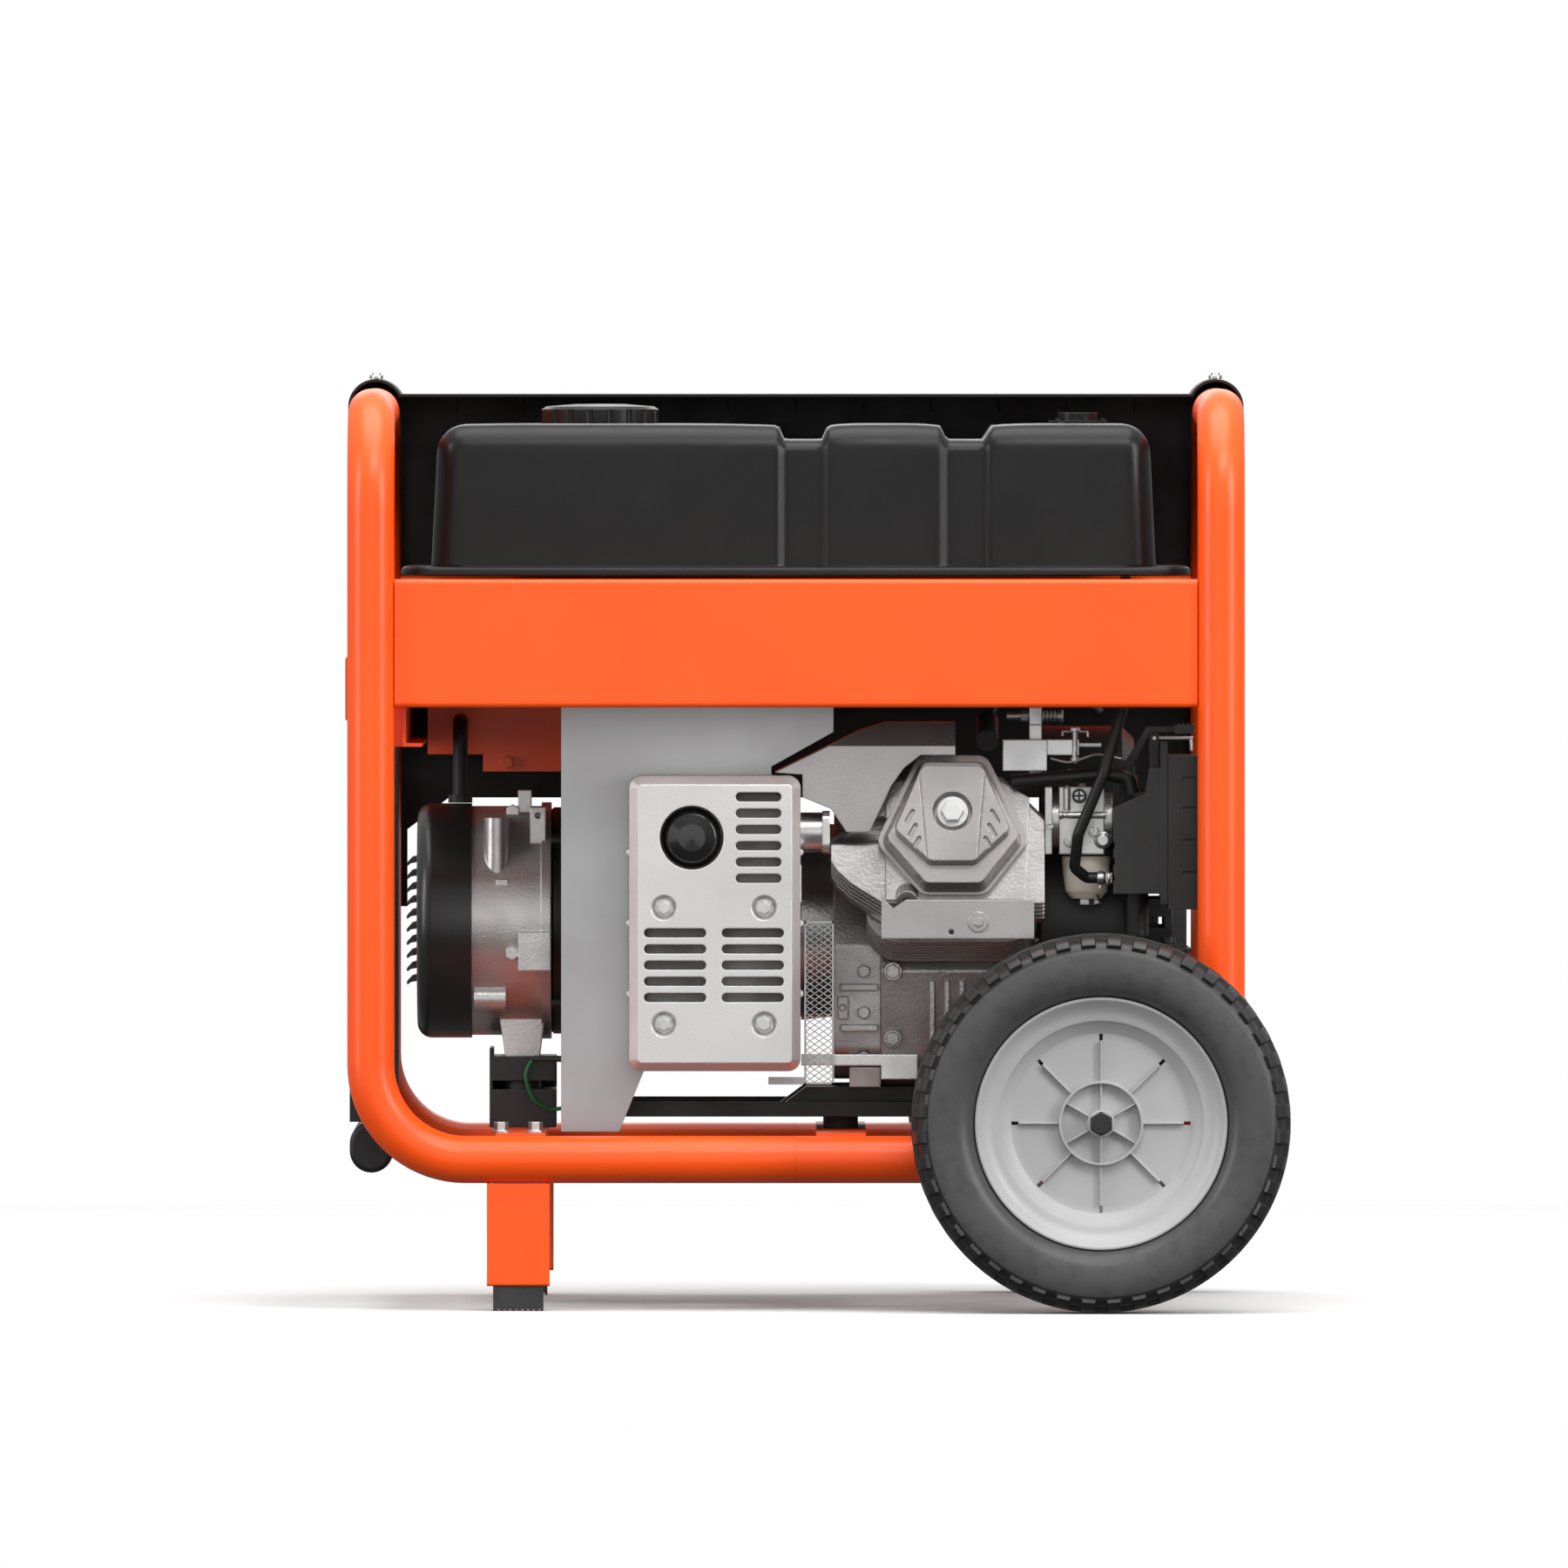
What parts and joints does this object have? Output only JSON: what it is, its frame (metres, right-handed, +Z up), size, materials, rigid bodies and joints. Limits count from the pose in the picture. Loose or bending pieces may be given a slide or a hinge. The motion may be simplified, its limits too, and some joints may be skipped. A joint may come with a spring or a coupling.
{
  "type": "portable generator",
  "caption": "Open-frame portable generator: orange tube frame, black fuel tank, silver overhead-valve engine, muffler shield, alternator, folding handle and grey wheels.",
  "frame": {"origin": "middle of the overall size, on the ground", "axes": "+X along the crankshaft from the handle end to the wheel end, +Y from the muffler side to the control panel, +Z up"},
  "size_m": [0.7612, 0.698, 0.7538],
  "materials": {
    "frame_orange": "glossy orange powder coat",
    "zinc_steel": "zinc plated",
    "foot_rubber": "matte moulded rubber",
    "black_steel": "satin black paint",
    "cast_aluminium": "as cast, painted silver",
    "bell_aluminium": "die cast",
    "valve_cover_paint": "silver-grey metallic paint",
    "shroud_silver": "silver paint",
    "recoil_black": "satin black",
    "grip_plastic": "moulded black",
    "carb_alloy": "die cast zinc",
    "bowl_plastic": "cream resin",
    "bracket_zinc": "zinc plated",
    "cleaner_black": "satin moulded",
    "hose_rubber": "smooth rubber",
    "shield_silver": "silver heat paint",
    "muffler_steel": "aluminised steel",
    "spark_black": "gloss black",
    "galvanised": "galvanised",
    "alternator_black": "satin black",
    "stator_black": "lacquered laminations",
    "rotor_steel": "machined",
    "tank_black": "satin black",
    "fascia_black": "textured black",
    "outlet_black": "moulded",
    "wiring_black": "sleeved",
    "battery_black": "moulded case",
    "tyre_rubber": "moulded",
    "rim_grey": "moulded grey nylon",
    "handle_black": "satin black",
    "handle_rubber": "moulded grip"
  },
  "bodies": {
    "generator_frame": {"air_cleaner_base": "cleaner_black", "air_cleaner_cover": "cleaner_black", "alternator_end_bell": "bell_aluminium", "alternator_end_cover": "alternator_black", "axle_bolts": "black_steel", "base_crossmembers": "frame_orange", "battery": "battery_black", "blower_housing": "recoil_black", "breather_hose": "hose_rubber", "carburetor_body": "carb_alloy", "control_box": "frame_orange", "control_fascia": "fascia_black", "crankcase": "cast_aluminium", "crankcase_cover": "cast_aluminium", "cylinder": "cast_aluminium", "cylinder_head": "cast_aluminium", "cylinder_shroud": "shroud_silver", "end_crossmember": "frame_orange", "engine_cradle": "black_steel", "exhaust_pipe": "zinc_steel", "far_side_rail": "frame_orange", "fasteners": "zinc_steel", "float_bowl": "bowl_plastic", "frame_tube_left": "frame_orange", "frame_tube_right": "frame_orange", "fuel_gauge": "tank_black", "fuel_hose": "hose_rubber", "fuel_tank": "tank_black", "governor_bracket": "bracket_zinc", "heat_shield_plate": "galvanised", "isolator_brackets": "black_steel", "isolator_mounts": "foot_rubber", "muffler_body": "muffler_steel", "muffler_guard_mesh": "galvanised", "muffler_shield": "shield_silver", "near_side_rail": "frame_orange", "outlets": "outlet_black", "recoil_starter_cover": "recoil_black", "rubber_feet": "foot_rubber", "spark_arrestor": "spark_black", "stator": "stator_black", "support_legs": "frame_orange", "valve_cover": "valve_cover_paint", "wiring": "wiring_black"},
    "wheel_near": {"tyre_near": "tyre_rubber", "rim_near": "rim_grey"},
    "wheel_far": {"tyre_far": "tyre_rubber", "rim_far": "rim_grey"},
    "handle": {"handle_bar": "handle_black", "handle_grip": "handle_rubber"},
    "cap": {"fuel_cap": "tank_black"},
    "crank": {"crankshaft": "rotor_steel", "rotor": "rotor_steel", "flywheel": "rotor_steel"},
    "recoil_pull": {"recoil_grip": "grip_plastic"},
    "choke": {"choke_lever": "grip_plastic"},
    "latch": {"air_cleaner_latch": "bracket_zinc"},
    "switch": {"engine_switch": "grip_plastic"},
    "breaker": {"breaker_button": "grip_plastic"},
    "fuel_valve": {"fuel_valve_knob": "grip_plastic"}
  },
  "joints": [
    {"name": "wheel_near_spin", "type": "hinge", "parent": "generator_frame", "child": "wheel_near", "pos_m": [0.2282, -0.31, 0.1524], "axis": [0, 1, 0], "continuous": true},
    {"name": "wheel_far_spin", "type": "hinge", "parent": "generator_frame", "child": "wheel_far", "pos_m": [0.2282, 0.31, 0.1524], "axis": [0, 1, 0], "continuous": true},
    {"name": "handle_fold", "type": "hinge", "parent": "generator_frame", "child": "handle", "pos_m": [-0.358, 0, 0.5], "axis": [0, 1, 0], "range_deg": [0, 90]},
    {"name": "fuel_cap_turn", "type": "hinge", "parent": "generator_frame", "child": "cap", "pos_m": [-0.1747, -0.02, 0.718], "axis": [0, 0, 1], "range_deg": [0, 90]},
    {"name": "crank_spin", "type": "hinge", "parent": "generator_frame", "child": "crank", "pos_m": [0, 0.05, 0.309], "axis": [1, 0, 0], "continuous": true},
    {"name": "recoil_grip_pull", "type": "slide", "parent": "generator_frame", "child": "recoil_pull", "axis": [1, 0, 0], "range_m": [0, 0.6], "stiffness_N_per_m": 40},
    {"name": "choke_lever_turn", "type": "hinge", "parent": "generator_frame", "child": "choke", "pos_m": [0.2506, -0.127, 0.4347], "axis": [0, -1, 0], "range_deg": [0, 40]},
    {"name": "air_cleaner_latch_lift", "type": "hinge", "parent": "generator_frame", "child": "latch", "pos_m": [0.2723, -0.159, 0.4595], "axis": [0, -1, 0], "range_deg": [0, 110]},
    {"name": "engine_switch_rock", "type": "hinge", "parent": "generator_frame", "child": "switch", "pos_m": [0.19, 0.262, 0.65], "axis": [1, 0, 0], "range_deg": [0, 20]},
    {"name": "breaker_push", "type": "slide", "parent": "generator_frame", "child": "breaker", "axis": [0, -1, 0], "range_m": [0, 0.003], "stiffness_N_per_m": 300},
    {"name": "fuel_valve_turn", "type": "hinge", "parent": "generator_frame", "child": "fuel_valve", "pos_m": [0.262, 0.2694, 0.65], "axis": [0, 1, 0], "range_deg": [0, 90]}
  ]
}
